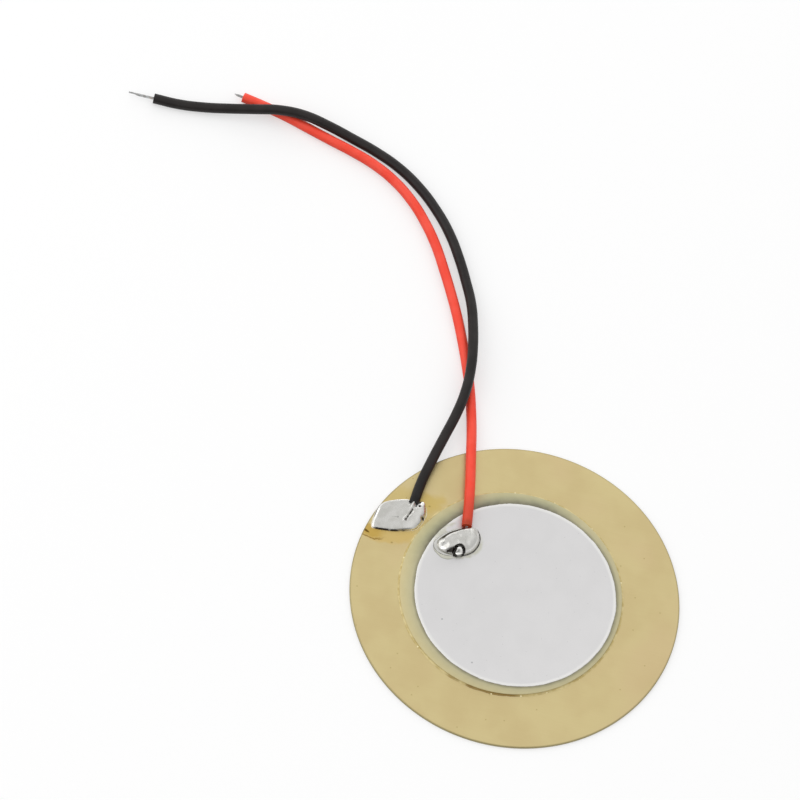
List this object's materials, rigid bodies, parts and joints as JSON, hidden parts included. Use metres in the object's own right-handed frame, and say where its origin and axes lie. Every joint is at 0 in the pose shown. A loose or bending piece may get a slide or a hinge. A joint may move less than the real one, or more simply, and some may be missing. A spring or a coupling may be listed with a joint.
{
  "type": "piezo disc",
  "caption": "Round brass plate with a bonded piezo ceramic element and two insulated leads soldered to its face, one black on the brass and one red on the silver electrode.",
  "frame": {"origin": "centre of the brass plate's underside", "axes": "+Z from the brass towards the ceramic, square to the plate; the leads leave the joints towards +Y and bend away towards -X"},
  "size_m": [0.0703, 0.0696, 0.0023],
  "materials": {
    "brass": "rolled, lightly stained",
    "adhesive": "cured epoxy",
    "silver": "fired, matte",
    "ceramic": "lapped, unglazed",
    "solder": "flowed, bright",
    "tinned_copper": "tinned strands",
    "black_insulation": "extruded PVC",
    "red_insulation": "extruded PVC"
  },
  "bodies": {
    "root": {"brass_plate": "brass", "adhesive_layer": "adhesive", "lower_electrode": "silver", "ceramic_disc": "ceramic", "upper_electrode": "silver", "plate_solder": "solder", "electrode_solder": "solder", "black_soldered_end": "tinned_copper", "red_soldered_end": "tinned_copper", "black_lead": "black_insulation", "red_lead": "red_insulation", "black_bare_end": "tinned_copper", "red_bare_end": "tinned_copper"}
  },
  "joints": []
}
